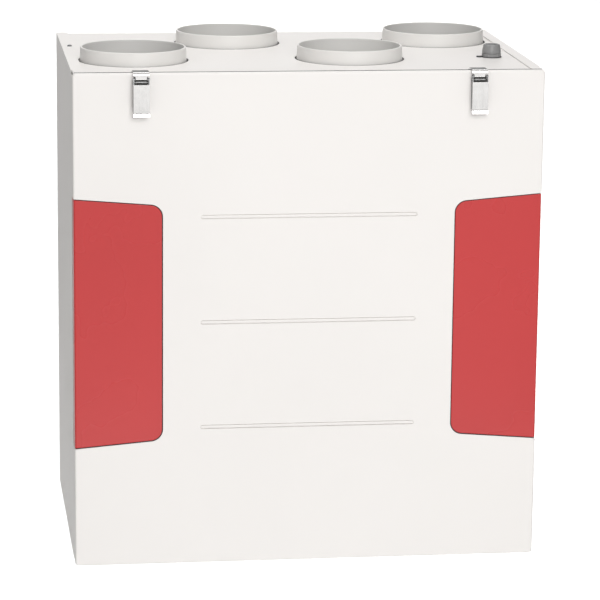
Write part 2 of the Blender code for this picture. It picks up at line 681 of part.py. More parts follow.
def make_cover_parts():
    make_front_cover()
    make_accent_panel("accent_left", -1)
    make_accent_panel("accent_right", 1)
    edge = INSIDE - 0.0025
    back = FOAM_FRONT - 0.0030
    box("cover_insulation", "lining_foam",
        (-edge, FRONT + 0.0030, BOTTOM + 0.0040), (edge, back, TOP - 0.0180))
    frame = box("cover_seal", "black_rubber",
                (-edge + 0.006, back + FIT, BOTTOM + 0.0120), (edge - 0.006, FOAM_FRONT - 0.0005,
                                                              TOP - 0.0260))
    opening = box("seal_opening", None,
                  (-edge + 0.018, back - 0.01, BOTTOM + 0.0240), (edge - 0.018, FOAM_FRONT + 0.01,
                                                                 TOP - 0.0380))
    cut(frame, opening)


# ---------------------------------------------------------------- toggle latches


def make_latch(tag, x):
    pivot_y, pivot_z = LATCH_PIVOT
    claw_y, claw_z = CLAW_PIVOT

    base = box("latch_base_" + tag, "bright_steel",
               (x - 0.0097, FRONT - 0.0013, TOP - 0.0520), (x + 0.0097, FRONT - FIT, TOP - 0.0060))
    ear_half = 0.0021
    ear = rounded([(FRONT - 0.0005, pivot_z - ear_half), (pivot_y - ear_half, pivot_z - ear_half),
                   (pivot_y - ear_half, pivot_z + ear_half), (FRONT - 0.0005, pivot_z + ear_half)],
                  (0, 0.0018, 0.0018, 0))
    ears = [prism(f"latch_ear_{tag}_{n}", None, "X", ear, x + low, x + low + 0.0012)
            for n, low in enumerate((-0.0097, 0.0085))]
    stubs = [drum(f"latch_stub_{tag}_{n}", None, "X", (x, pivot_y, pivot_z), 0.0015, low, high, 14)
             for n, (low, high) in enumerate(((-0.0121, -0.0086), (0.0086, 0.0121)))]
    join(base, *ears, *stubs)

    top = LEVER_TOP
    low = TOP - 0.0605
    face = FRONT - 0.0125
    lever = prism("latch_lever_" + tag, "bright_steel", "X", [
        (face, top), (face, low + 0.006), (face - 0.0022, low),
        (face - 0.0012, low - 0.0004), (face + LEVER_SHEET, low + 0.006),
        (face + LEVER_SHEET, top)], x - LEVER_HALF, x + LEVER_HALF)
    cheek = [(face + 0.0005, top), (face + 0.0005, low + 0.0065), (FRONT - 0.0040, low + 0.0065),
             (FRONT - 0.0024, low + 0.0200), (FRONT - 0.0024, claw_z)]
    cheek += [(pivot_y + LEVER_TIP * cos(turn), pivot_z + LEVER_TIP * sin(turn))
              for turn in (pi * step / 6 for step in range(7))]
    cheeks = [prism(f"lever_cheek_{tag}_{n}", None, "X", cheek, x + start, x + start + LEVER_SHEET)
              for n, start in enumerate((-LEVER_HALF, LEVER_HALF - LEVER_SHEET))]
    join(lever, *cheeks)
    cut(lever,
        drum(f"lever_pivot_hole_{tag}", None, "X", (x, pivot_y, pivot_z), 0.0019, -0.02, 0.02, 14),
        drum(f"lever_claw_hole_{tag}", None, "X", (x, claw_y, claw_z), 0.0016, -0.02, 0.02, 14))
    drum("claw_pin_" + tag, "bright_steel", "X", (x, claw_y, claw_z), 0.0013, -0.0118, 0.0118, 14)

    make_claw(tag, x)
    box("catch_" + tag, "zinc_steel",
        (x - 0.0125, TOP_RIM_END + 0.0010, PLATE_TOP + FIT), (x + 0.0125, TOP_RIM_END + 0.0110,
                                                             PLATE_TOP + 0.0015))


def make_claw(tag, x):
    """Strip that hangs on the lever and reaches over the cover's top edge to the catch."""
    claw_y, claw_z = CLAW_PIVOT
    over = TOP + 0.0011
    sheet = 0.0012
    inner = [(FRONT - 0.0024, claw_z), (FRONT - 0.0024, TOP - 0.0105), (FRONT - 0.0050, TOP - 0.0075),
             (FRONT - 0.0050, over - 0.0010), (FRONT - 0.0040, over), (FRONT + 0.0185, over)]
    outer = [(FRONT + 0.0185, over + sheet), (FRONT - 0.0045, over + sheet),
             (FRONT - 0.0062, over - 0.0006), (FRONT - 0.0062, TOP - 0.0082),
             (FRONT - 0.0036, TOP - 0.0112), (FRONT - 0.0036, claw_z)]
    strip = prism("latch_claw_" + tag, "bright_steel", "X", inner + outer, x - 0.0112, x + 0.0112)
    waist = [[(x + s * 0.0075, claw_z - 0.01), (x + s * 0.0200, claw_z - 0.01),
              (x + s * 0.0200, TOP - 0.0040), (x + s * 0.0112, TOP - 0.0040),
              (x + s * 0.0080, TOP - 0.0043), (x + s * 0.0075, TOP - 0.0050)] for s in (-1, 1)]
    sides = [prism(f"claw_waist_{tag}_{n}", None, "Y", outline, FRONT - 0.03, FRONT + 0.001)
             for n, outline in enumerate(waist)]
    eye = drum(f"claw_eye_{tag}", None, "X", (x, claw_y, claw_z), 0.0026, -0.0074, 0.0074, 16)
    bore = drum(f"claw_bore_{tag}", None, "X", (x, claw_y, claw_z), 0.0016, -0.02, 0.02, 14)
    cut(strip, *sides)
    join(strip, eye)
    cut(strip, bore)


# ---------------------------------------------------------------- assembly

clear_scene()
GUIDES = bpy.data.objects.new("guides", None)
bpy.context.scene.collection.objects.link(GUIDES)

make_casing()
make_wall_fixing()
make_spigots()
make_cable_gland()
make_lining()
make_partitions()
make_fan("left", LEFT_WALL_X, -1)
make_fan("right", RIGHT_WALL_X, 1)
make_exchanger()
make_filters()
make_bypass_flap()
make_condensate_parts()
make_controls()
make_cover_parts()
make_latch("left", -LATCH_X)
make_latch("right", LATCH_X)
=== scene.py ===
"""Looks of the wall-hung heat recovery unit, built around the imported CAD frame.

Metres, +Z up. The wall is the plane Y = 0 and the unit's front faces -Y.
"""

import json
from math import cos, pi, radians, sin

import bmesh
import bpy
from mathutils import Matrix, Vector


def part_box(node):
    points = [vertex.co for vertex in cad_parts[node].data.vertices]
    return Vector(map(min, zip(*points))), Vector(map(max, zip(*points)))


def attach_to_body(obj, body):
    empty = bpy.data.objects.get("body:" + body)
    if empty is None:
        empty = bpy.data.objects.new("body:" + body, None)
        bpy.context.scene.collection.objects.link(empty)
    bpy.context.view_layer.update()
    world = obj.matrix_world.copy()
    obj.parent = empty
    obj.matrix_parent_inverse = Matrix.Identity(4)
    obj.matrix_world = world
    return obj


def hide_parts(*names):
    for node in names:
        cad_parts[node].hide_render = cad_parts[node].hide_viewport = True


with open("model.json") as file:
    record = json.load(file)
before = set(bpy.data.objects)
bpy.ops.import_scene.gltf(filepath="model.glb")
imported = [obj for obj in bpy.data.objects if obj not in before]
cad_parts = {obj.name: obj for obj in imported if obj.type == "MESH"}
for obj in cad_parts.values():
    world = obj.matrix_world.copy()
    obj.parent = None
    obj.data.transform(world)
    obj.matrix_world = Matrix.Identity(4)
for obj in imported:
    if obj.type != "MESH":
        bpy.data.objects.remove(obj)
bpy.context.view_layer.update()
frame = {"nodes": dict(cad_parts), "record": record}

BODY_OF = {node: body
           for body, nodes in frame["record"]["behaviour"]["bodies"].items() for node in nodes}
SLOT_OF = {row["node"]: row["material_slot"] for row in frame["record"]["subparts"]}

COVER_LOW, COVER_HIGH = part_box("front_cover")
FRONT = COVER_LOW.y
TOP = COVER_HIGH.z
BOTTOM = COVER_LOW.z
HALF = COVER_HIGH.x
RIM_END = COVER_HIGH.y
PLATE_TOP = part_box("top_plate")[1].z
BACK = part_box("left_side_panel")[1].y
SHEET = 0.0015          # thickness of the casing's sheet
BEND = 0.0030           # outer radius of its bends
SPIGOT_KEYS = ("front_left", "back_left", "front_right", "back_right")

# ---------------------------------------------------------------- camera, lights and floor

CAMERA_PLACE = Vector((-0.5563, FRONT - 4.0956, BOTTOM + 1.3092))
CAMERA_YAW = -0.1319
CAMERA_PITCH = -0.2183
CAMERA_ROLL = 0.0103
CAMERA_LENS = 175.4
FLOOR_HEIGHT = -1.9
FLOOR_REACH = 40
SKY_FADE = {"From Min": 0.25, "From Max": 0.95, "To Min": 0.40, "To Max": 0.06}


def make_camera():
    """A long lens in front, a little to the left and above, with yaw, pitch and roll."""
    ahead = Vector((-sin(CAMERA_YAW) * cos(CAMERA_PITCH), cos(CAMERA_YAW) * cos(CAMERA_PITCH),
                    sin(CAMERA_PITCH)))
    level = Vector((cos(CAMERA_YAW), sin(CAMERA_YAW), 0))
    upright = level.cross(ahead)
    right = level * cos(CAMERA_ROLL) + upright * sin(CAMERA_ROLL)
    above = upright * cos(CAMERA_ROLL) - level * sin(CAMERA_ROLL)
    data = bpy.data.cameras.new("camera")
    data.lens = CAMERA_LENS
    data.sensor_width = 36
    data.clip_end = 60
    camera = bpy.data.objects.new("camera", data)
    bpy.context.scene.collection.objects.link(camera)
    turn = Matrix((right, above, -ahead)).transposed()
    camera.matrix_world = Matrix.Translation(CAMERA_PLACE) @ turn.to_4x4()
    bpy.context.scene.camera = camera


def area_light(name, place, target, size, power, spread=180):
    """A soft rectangular lamp aimed at a point, out of the camera's own sight."""
    data = bpy.data.lights.new(name, "AREA")
    data.shape = "RECTANGLE"
    data.size, data.size_y = size
    data.energy = power
    data.spread = radians(spread)
    lamp = bpy.data.objects.new(name, data)
    bpy.context.scene.collection.objects.link(lamp)
    lamp.location = place
    lamp.rotation_euler = (Vector(target) - Vector(place)).to_track_quat("-Z", "Y").to_euler()
    lamp.visible_camera = False


def make_studio():
    """A pale sky, darker towards the left and right, and the soft boxes round the unit."""
    scene = bpy.context.scene
    scene.view_settings.view_transform = "Standard"
    world = bpy.data.worlds.new("studio")
    world.use_nodes = True
    nodes, links = world.node_tree.nodes, world.node_tree.links
    sky = nodes["Background"]
    sky.inputs["Color"].default_value = (1.0, 0.995, 0.985, 1)
    direction = nodes.new("ShaderNodeTexCoord")
    parts = nodes.new("ShaderNodeSeparateXYZ")
    sideways = nodes.new("ShaderNodeMath")
    sideways.operation = "ABSOLUTE"
    fade = nodes.new("ShaderNodeMapRange")
    for key, value in SKY_FADE.items():
        fade.inputs[key].default_value = value
    links.new(direction.outputs["Generated"], parts.inputs["Vector"])
    links.new(parts.outputs["X"], sideways.inputs[0])
    links.new(sideways.outputs["Value"], fade.inputs["Value"])
    links.new(fade.outputs["Result"], sky.inputs["Strength"])
    scene.world = world
    area_light("key", (0.25, FRONT - 2.4, 1.05), (0.0, FRONT, -0.30), (1.4, 1.4), 40)
    area_light("low_fill", (0.1, FRONT - 2.2, -1.40), (0.0, FRONT, -0.45), (1.6, 0.6), 8)
    area_light("low_front", (0.5, FRONT - 3.7, -0.75), (0.3, FRONT, 0.0), (2.6, 1.5), 9.3)
    area_light("overhead", (0.1, FRONT + 1.0, 2.7), (0.1, -0.15, 0.1), (1.8, 1.8), 44)
    area_light("upper_left", (-1.7, -0.35, 1.5), (-0.34, -0.25, 0.0), (0.9, 0.9), 7)
    area_light("back_top", (0.7, 4.2, 1.25), (0, 0, 0.1), (3.4, 1.7), 7)
    area_light("backdrop", (2.2, 11, 1.6), (2.2, 11, FLOOR_HEIGHT), (5.4, 18), 330, 60)


# ---------------------------------------------------------------- materials


class Shader:
    """A Principled material with a few short ways to add procedural detail."""

    def __init__(self, name, colour, roughness, metallic=0.0, **settings):
        self.material = bpy.data.materials.new(name)
        self.material.use_nodes = True
        self.tree = self.material.node_tree
        self.surface = self.tree.nodes["Principled BSDF"]
        self.colour = colour
        self.surface.inputs["Base Color"].default_value = (*colour, 1)
        self.surface.inputs["Roughness"].default_value = roughness
        self.surface.inputs["Metallic"].default_value = metallic
        for key, value in settings.items():
            self.surface.inputs[key.replace("_", " ")].default_value = value
        self.place = self.node("ShaderNodeTexCoord").outputs["Object"]
        self.height = None

    def node(self, kind, **settings):
        made = self.tree.nodes.new(kind)
        for key, value in settings.items():
            setattr(made, key, value)
        return made

    def link(self, source, target):
        self.tree.links.new(source, target)

    def stretched(self, scale):
        """Object coordinates scaled differently along X, Y and Z."""
        mapping = self.node("ShaderNodeMapping")
        mapping.inputs["Scale"].default_value = scale
        self.link(self.place, mapping.inputs["Vector"])
        return mapping.outputs["Vector"]

    def noise(self, scale, detail=2.0, rough=0.5, stretch=None):
        made = self.node("ShaderNodeTexNoise")
        made.inputs["Scale"].default_value = scale
        made.inputs["Detail"].default_value = detail
        made.inputs["Roughness"].default_value = rough
        self.link(self.stretched(stretch) if stretch else self.place, made.inputs["Vector"])
        return made.outputs["Fac"]

    def cells(self, scale, feature="F1", output="Distance"):
        made = self.node("ShaderNodeTexVoronoi", feature=feature)
        made.inputs["Scale"].default_value = scale
        self.link(self.place, made.inputs["Vector"])
        return made.outputs[output]

    def waves(self, scale, direction, stretch=None):
        made = self.node("ShaderNodeTexWave", bands_direction=direction)
        made.inputs["Scale"].default_value = scale
        self.link(self.stretched(stretch) if stretch else self.place, made.inputs["Vector"])
        return made.outputs["Fac"]

    def ramp(self, source, low, high, start=0.3, end=0.7):
        made = self.node("ShaderNodeMapRange")
        limits = {"From Min": start, "From Max": end, "To Min": low, "To Max": high}
        for key, value in limits.items():
            made.inputs[key].default_value = value
        self.link(source, made.inputs["Value"])
        return made.outputs["Result"]

    def tint(self, source, other, start=0.3, end=0.7):
        """Mix the base colour towards another where a texture is high."""
        mix = self.node("ShaderNodeMix", data_type="RGBA")
        mix.inputs["B"].default_value = (*other, 1)
        before = self.surface.inputs["Base Color"]
        if before.links:
            self.link(before.links[0].from_socket, mix.inputs["A"])
        else:
            mix.inputs["A"].default_value = (*self.colour, 1)
        self.link(self.ramp(source, 0.0, 1.0, start, end), mix.inputs["Factor"])
        self.link(mix.outputs["Result"], before)

    def polish(self, source, low, high, start=0.3, end=0.7):
        self.link(self.ramp(source, low, high, start, end), self.surface.inputs["Roughness"])

    def bump(self, source, depth, strength=1.0):
        made = self.node("ShaderNodeBump")
        made.inputs["Distance"].default_value = depth
        made.inputs["Strength"].default_value = strength
        self.link(source, made.inputs["Height"])
        if self.height:
            self.link(self.height, made.inputs["Normal"])
        self.height = made.outputs["Normal"]
        self.link(self.height, self.surface.inputs["Normal"])


def shades(colour, factor):
    return tuple(min(1.0, part * factor) for part in colour)


def powder_coat():
    white = (0.850, 0.823, 0.800)
    made = Shader("powder_coat", white, 0.34, Specular_IOR_Level=0.30)
    made.tint(made.noise(2.5, 3.0), shades(white, 0.972))
    made.tint(made.noise(900, 1.0), shades(white, 0.985), 0.55, 0.75)
    made.polish(made.noise(7, 3.0), 0.32, 0.36)
    made.bump(made.noise(420, 2.0), 0.00003, 0.3)
    return made.material


def accent_red():
    red = (0.545, 0.040, 0.041)
    made = Shader("accent_red", red, 0.34, Specular_IOR_Level=0.32, Coat_Weight=0.12,
                  Coat_Roughness=0.20)
    made.tint(made.noise(3.0, 3.0), shades(red, 0.93))
    made.polish(made.noise(8, 3.0), 0.26, 0.30)
    made.bump(made.noise(500, 2.0), 0.00003, 0.30)
    return made.material


def bright_steel():
    steel = (0.70, 0.69, 0.68)
    made = Shader("bright_steel", steel, 0.15, 1.0)
    grain = made.noise(260, 4.0, 0.6, stretch=(1.0, 0.12, 0.06))
    made.polish(grain, 0.11, 0.19)
    made.tint(made.noise(140, 3.0), shades(steel, 0.93))
    made.bump(grain, 0.00002, 0.25)
    return made.material


def zinc_steel():
    zinc = (0.60, 0.61, 0.62)
    made = Shader("zinc_steel", zinc, 0.38, 1.0)
    made.tint(made.cells(150, output="Color"), shades(zinc, 0.80), 0.2, 0.9)
    made.polish(made.cells(150, output="Color"), 0.30, 0.50, 0.1, 0.9)
    made.bump(made.noise(500, 3.0), 0.00003, 0.4)
    return made.material


def shaded_steel():
    """Brushed steel, darker than the polished lever, that paints shade: on the backing plate
    behind the lever, the rivets, the claw's neck and the lever's cheeks and top, and as a painted
    dark reflection on the claw's top.
    """
    # painted shade: this dark grey stands for steel lying in shadow, not for a darker steel
    grey = (0.20, 0.20, 0.20)
    made = Shader("shaded_steel", grey, 0.34, 0.9)
    grain = made.noise(260, 4.0, 0.6, stretch=(1.0, 0.12, 0.06))
    made.tint(grain, shades(grey, 0.80))
    made.polish(grain, 0.28, 0.42)
    made.bump(grain, 0.00002, 0.30)
    return made.material


def dark_screw():
    grey = (0.16, 0.16, 0.165)
    made = Shader("dark_screw", grey, 0.35, 0.9)
    made.tint(made.noise(600, 3.0), shades(grey, 1.6))
    made.polish(made.noise(900, 3.0), 0.28, 0.48)
    made.bump(made.noise(1500, 2.0), 0.00002, 0.4)
    return made.material


def spigot_plastic():
    cream = (0.80, 0.785, 0.76)
    made = Shader("spigot_plastic", cream, 0.42)
    made.tint(made.noise(8, 3.0), shades(cream, 0.96))
    made.polish(made.noise(90, 3.0), 0.36, 0.50)
    made.bump(made.noise(1200, 2.0), 0.00003, 0.4)
    return made.material


def grey_plastic():
    grey = (0.235, 0.235, 0.235)
    made = Shader("grey_plastic", grey, 0.42)
    made.tint(made.noise(45, 4.0), shades(grey, 1.18))
    made.polish(made.noise(200, 3.0), 0.36, 0.52)
    made.bump(made.noise(1400, 2.0), 0.00004, 0.5)
    return made.material


def black_rubber():
    black = (0.030, 0.030, 0.031)
    made = Shader("black_rubber", black, 0.70)
    made.tint(made.noise(150, 4.0), shades(black, 1.9))
    made.polish(made.noise(300, 3.0), 0.60, 0.82)
    made.bump(made.noise(1800, 2.0), 0.00005, 0.5)
    return made.material


def lining_foam():
    """Expanded bead foam: fused beads a few millimetres across."""
    charcoal = (0.075, 0.076, 0.080)
    made = Shader("lining_foam", charcoal, 0.88)
    made.tint(made.cells(280, output="Color"), shades(charcoal, 1.45), 0.2, 0.9)
    made.tint(made.cells(280, "DISTANCE_TO_EDGE"), shades(charcoal, 0.45), 0.10, 0.0)
    made.polish(made.noise(400, 2.0), 0.80, 0.95)
    made.bump(made.cells(280, "DISTANCE_TO_EDGE"), 0.0006, 0.7)
    return made.material


def core_plastic():
    blue = (0.66, 0.71, 0.76)
    made = Shader("core_plastic", blue, 0.32)
    made.tint(made.noise(25, 4.0), shades(blue, 0.90))
    made.polish(made.noise(150, 3.0), 0.25, 0.42)
    made.bump(made.noise(700, 2.0), 0.00005, 0.5)
    return made.material


def filter_fleece():
    white = (0.84, 0.84, 0.81)
    made = Shader("filter_fleece", white, 0.95)
    made.tint(made.noise(900, 5.0, 0.7), shades(white, 0.78), 0.45, 0.7)
    made.polish(made.noise(300, 2.0), 0.88, 1.0)
    made.bump(made.noise(1600, 5.0, 0.75), 0.0004, 0.8)
    return made.material


def filter_card():
    card = (0.70, 0.66, 0.58)
    made = Shader("filter_card", card, 0.85)
    made.tint(made.noise(500, 5.0, stretch=(1.0, 0.2, 1.0)), shades(card, 0.85))
    made.polish(made.noise(200, 2.0), 0.78, 0.92)
    made.bump(made.noise(1400, 4.0), 0.0001, 0.6)
    return made.material


def fan_plastic():
    black = (0.055, 0.056, 0.060)
    made = Shader("fan_plastic", black, 0.45)
    made.tint(made.noise(60, 4.0), shades(black, 1.4))
    made.polish(made.noise(250, 3.0), 0.38, 0.56)
    made.bump(made.noise(1600, 2.0), 0.00004, 0.5)
    return made.material


def tray_plastic():
    dark = (0.12, 0.12, 0.128)
    made = Shader("tray_plastic", dark, 0.38)
    made.tint(made.noise(40, 4.0), shades(dark, 1.25))
    made.polish(made.noise(180, 3.0), 0.32, 0.48)
    made.bump(made.noise(900, 2.0), 0.00004, 0.4)
    return made.material


def circuit_board():
    green = (0.020, 0.150, 0.065)
    made = Shader("circuit_board", green, 0.38, Coat_Weight=0.3, Coat_Roughness=0.2)
    made.tint(made.waves(70, "X", stretch=(1.0, 1.0, 0.2)), shades(green, 1.9), 0.78, 0.86)
    made.tint(made.waves(45, "Z", stretch=(0.2, 1.0, 1.0)), shades(green, 1.6), 0.80, 0.88)
    made.polish(made.noise(300, 3.0), 0.30, 0.46)
    made.bump(made.waves(70, "X", stretch=(1.0, 1.0, 0.2)), 0.00005, 0.6)
    return made.material


def board_part():
    dark = (0.045, 0.045, 0.048)
    made = Shader("board_part", dark, 0.5)
    made.tint(made.noise(300, 3.0), shades(dark, 1.8))
    made.polish(made.noise(500, 3.0), 0.40, 0.62)
    made.bump(made.noise(2500, 2.0), 0.00003, 0.5)
    return made.material


def webbing():
    black = (0.040, 0.040, 0.043)
    made = Shader("webbing", black, 0.82)
    weave = made.waves(260, "X")
    made.tint(weave, shades(black, 2.4), 0.4, 0.9)
    made.polish(made.noise(700, 2.0), 0.74, 0.90)
    made.bump(weave, 0.0003, 0.7)
    made.bump(made.waves(260, "Z"), 0.0003, 0.7)
    return made.material


def pale_floor():
    white = (0.90, 0.90, 0.895)
    made = Shader("pale_floor", white, 0.8)
    made.surface.inputs["Emission Color"].default_value = (1, 1, 0.995, 1)
    made.surface.inputs["Emission Strength"].default_value = 0.20
    made.tint(made.noise(1.2, 2.0), shades(white, 0.985))
    return made.material


MATERIALS = {}


def make_materials():
    for maker in (powder_coat, accent_red, bright_steel, shaded_steel, zinc_steel, dark_screw,
                  spigot_plastic, grey_plastic, black_rubber, lining_foam, core_plastic,
                  filter_fleece, filter_card, fan_plastic, tray_plastic, circuit_board, board_part,
                  webbing, pale_floor):
        MATERIALS[maker.__name__] = maker()
    MATERIALS["filter_media"] = MATERIALS["filter_card"]


# ---------------------------------------------------------------- mesh tools


def add_object(bm, name, finish, angle=35):
    """Turn a bmesh into an object, its faces pointing out and smooth between sharp edges."""
    bmesh.ops.recalc_face_normals(bm, faces=bm.faces)
    mesh = bpy.data.meshes.new(name)
    bm.to_mesh(mesh)
    bm.free()
    mesh.shade_smooth()
    mesh.set_sharp_from_angle(angle=radians(angle))
    item = bpy.data.objects.new(name, mesh)
    bpy.context.scene.collection.objects.link(item)
    if finish:
        mesh.materials.append(MATERIALS[finish])
    return item


def attach(item, body, stands_for=()):
    """Let a piece ride on a body, and say which CAD nodes it stands for, which are hidden."""
    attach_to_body(item, body)
    if stands_for:
        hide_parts(*stands_for)
    return item


def to_space(axis, a, b, along):
    """A point of an outline extruded along an axis: X takes (y, z), Y (x, z), Z (x, y)."""
    if axis == "X":
        return (along, a, b)
    if axis == "Y":
        return (a, along, b)
    return (a, b, along)


def box(name, finish, low, high):
    bm = bmesh.new()
    size = Vector(high) - Vector(low)
    placing = Matrix.Translation((Vector(high) + Vector(low)) / 2) @ Matrix.Diagonal((*size, 1.0))
    bmesh.ops.create_cube(bm, size=1.0, matrix=placing)
    return add_object(bm, name, finish)


def prism(name, finish, axis, outline, low, high):
    """An outline extruded along an axis from low to high."""
    bm = bmesh.new()
    face = bm.faces.new([bm.verts.new(to_space(axis, a, b, low)) for a, b in outline])
    grown = bmesh.ops.extrude_face_region(bm, geom=[face])
    moved = [v for v in grown["geom"] if isinstance(v, bmesh.types.BMVert)]
    bmesh.ops.translate(bm, verts=moved, vec=to_space(axis, 0, 0, high - low))
    return add_object(bm, name, finish)


def turned(name, finish, axis, centre, profile, segments=96):
    """A profile of (radius, height) points turned about an axis; on the axis it is a solid."""
    bm = bmesh.new()
    solid = profile[0][0] == 0
    points = profile[1:-1] if solid else profile
    turns = []
    for step in range(segments):
        turn = 2 * pi * step / segments
        turns.append([bm.verts.new(Vector(centre) + Vector(
            to_space(axis, r * cos(turn), r * sin(turn), h))) for r, h in points])
    for step in range(segments):
        here, there = turns[step], turns[(step + 1) % segments]
        for i in range(len(points) - 1 if solid else len(points)):
            j = (i + 1) % len(points)
            bm.faces.new((here[i], here[j], there[j], there[i]))
    if solid:
        bm.faces.new([turn[0] for turn in turns])
        bm.faces.new([turn[-1] for turn in turns])
    return add_object(bm, name, finish)


def arc(centre, radius, start, end, steps):
    """Points along an arc, angles in degrees."""
    return [(centre[0] + radius * cos(radians(start + (end - start) * i / steps)),
             centre[1] + radius * sin(radians(start + (end - start) * i / steps)))
            for i in range(steps + 1)]


def rounded(corners, radii, steps=6):
    """Round the corners of an outline. A radius of 0 keeps a corner sharp."""
    outline = []
    count = len(corners)
    for i, (corner, radius) in enumerate(zip(corners, radii)):
        here = Vector(corner)
        if radius == 0:
            outline.append(tuple(here))
            continue
        before = (Vector(corners[i - 1]) - here).normalized()
        after = (Vector(corners[(i + 1) % count]) - here).normalized()
        half_angle = before.angle(after) / 2
        reach = radius / sin(half_angle) * cos(half_angle)
        middle = here + (before + after).normalized() * (radius / sin(half_angle))
        first = here + before * reach - middle
        sweep = first.angle_signed(here + after * reach - middle)
        for step in range(steps + 1):
            outline.append(tuple(middle + Matrix.Rotation(-sweep * step / steps, 2) @ first))
    return outline


def rectangle(a0, b0, a1, b1):
    return [(a0, b0), (a1, b0), (a1, b1), (a0, b1)]


def apply_modifiers(item):
    """Turn a piece's modifiers into mesh."""
    graph = bpy.context.evaluated_depsgraph_get()
    mesh = bpy.data.meshes.new_from_object(item.evaluated_get(graph))
    item.modifiers.clear()
    item.data = mesh
    return item


def combine(item, tools, operation):
    """Cut, join or intersect a piece with tools, which are used up."""
    for tool in tools:
        step = item.modifiers.new(tool.name, "BOOLEAN")
        step.operation = operation
        step.solver = "EXACT"
        step.object = tool
    apply_modifiers(item)
    for tool in tools:
        bpy.data.objects.remove(tool, do_unlink=True)


def soften(item, width, segments=3, angle=30):
    """Round the sharp edges of a piece, with clean shading on its flat faces."""
    bevel = item.modifiers.new("bevel", "BEVEL")
    bevel.width = width
    bevel.segments = segments
    bevel.limit_method = "ANGLE"
    bevel.angle_limit = radians(angle)
    bevel.use_clamp_overlap = True
    apply_modifiers(item)
    item.data.shade_smooth()
    item.data.set_sharp_from_angle(angle=radians(40))
    normals = item.modifiers.new("normals", "WEIGHTED_NORMAL")
    normals.keep_sharp = True
    return apply_modifiers(item)


def painted_shade_faces(item, finish, test):
    """Give the faces of a piece that pass the test a second material; the latches use it to paint
    shade with the dark steel.
    """
    item.data.materials.append(MATERIALS[finish])
    for face in item.data.polygons:
        if test(face):
            face.material_index = len(item.data.materials) - 1


def refined(node, width, finish=None, segments=3):
    """A copy of a CAD node with its edges rounded, standing for that node."""
    source = frame["nodes"][node]
    bm = bmesh.new()
    bm.from_mesh(source.data)
    bm.transform(source.matrix_world)
    bmesh.ops.remove_doubles(bm, verts=bm.verts, dist=0.00001)
    bmesh.ops.dissolve_limit(bm, angle_limit=radians(1.0), verts=bm.verts, edges=bm.edges)
    item = add_object(bm, node + "_detailed", finish or SLOT_OF[node])
    soften(item, width, segments)
    return attach(item, BODY_OF[node], (node,))


# ---------------------------------------------------------------- front cover and accents

BEAD_WIDTH = 0.0060
BEAD_DEPTH = 0.0022     # depth of the crease round a bead
BEAD_CREASE = 0.0010    # width of that crease
BEAD_FLOOR = 0.0008     # depth of the bead's middle
BEAD_HALF = 0.157
BEAD_DROPS = (0.208, 0.363, 0.519)
WINDOW_GAP = 0.0013
ACCENT_LOW, ACCENT_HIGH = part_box("accent_right")
ACCENT_INNER = ACCENT_LOW.x
ACCENT_MIDDLE = (ACCENT_LOW.z + ACCENT_HIGH.z) / 2
ACCENT_OUTER_HALF = (ACCENT_HIGH.z - ACCENT_LOW.z) / 2
ACCENT_SLOPE = 0.0105 / 0.127
ACCENT_CORNER = 0.017


def pan_loop(bm, inset, y, radius):
    """A rounded rectangle of vertices, parallel to the cover's outline."""
    outline = rounded(rectangle(-HALF + inset, BOTTOM + inset, HALF - inset, TOP - inset),
                      [max(radius - inset, 0.0004)] * 4, 6)
    return [bm.verts.new((x, y, z)) for x, z in outline]


def bridge(bm, first, second):
    """Faces between two closed loops of vertices."""
    for i in range(len(first)):
        j = (i + 1) % len(first)
        bm.faces.new((first[i], first[j], second[j], second[i]))


def accent_outline(side, grow=0.0):
    """Trapezoid of an accent panel in (x, z), running out past the cover's edge."""
    outer = HALF + 0.010
    outer_half = ACCENT_OUTER_HALF + ACCENT_SLOPE * 0.0106 + grow
    inner_half = ACCENT_OUTER_HALF - ACCENT_SLOPE * (HALF - ACCENT_INNER) + grow
    inner = ACCENT_INNER - grow
    corners = [(side * outer, ACCENT_MIDDLE + outer_half),
               (side * inner, ACCENT_MIDDLE + inner_half),
               (side * inner, ACCENT_MIDDLE - inner_half),
               (side * outer, ACCENT_MIDDLE - outer_half)]
    return rounded(corners, (0, ACCENT_CORNER + grow, ACCENT_CORNER + grow, 0), 10)


